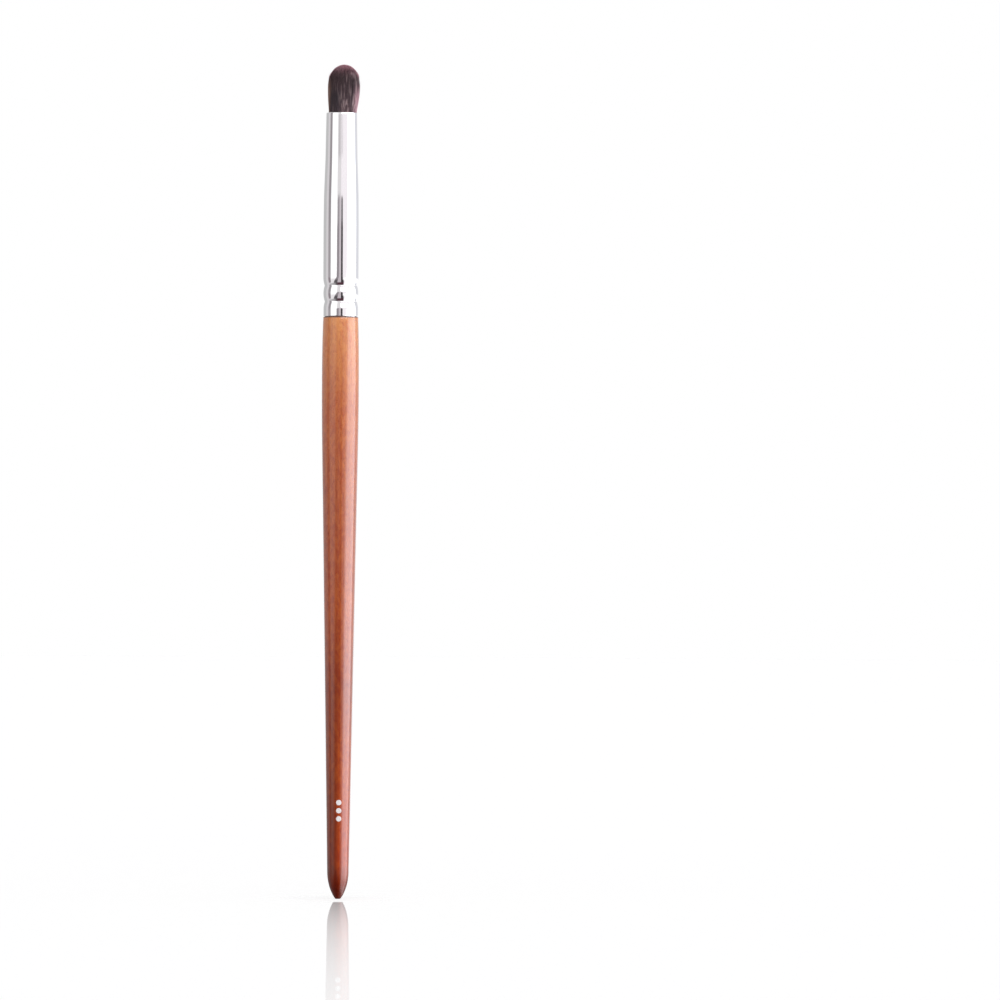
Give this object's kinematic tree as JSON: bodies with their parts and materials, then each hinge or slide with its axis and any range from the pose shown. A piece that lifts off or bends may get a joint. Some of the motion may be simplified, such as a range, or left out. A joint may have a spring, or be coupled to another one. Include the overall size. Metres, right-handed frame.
{
  "type": "smudger brush",
  "caption": "Round domed make-up brush for smudging eye colour: a soft hair tuft in a bright tapered ferrule, crimped onto a slim turned and lacquered wooden handle.",
  "frame": {"origin": "centre of the small flat on the handle's butt end", "axes": "+Z along the brush from the butt end to the tip of the hair; the brush is round about Z, and its front is the -Y side"},
  "size_m": [0.008, 0.008, 0.18],
  "materials": {
    "lacquered_wood": "glossy translucent lacquer over turned wood, orange tan at the ferrule grading to dark brown at the butt",
    "plated_metal": "mirror plated",
    "hair": "soft straight dark brown hair, reddish at the tips",
    "resin": "cured amber resin",
    "thread": "undyed twisted thread",
    "glue": "cured clear yellowish glue"
  },
  "bodies": {
    "root": {"handle": "lacquered_wood", "ferrule": "plated_metal", "bristle_tuft": "hair", "root_resin_plug": "resin", "binding_thread": "thread", "tenon_glue": "glue"}
  },
  "joints": []
}
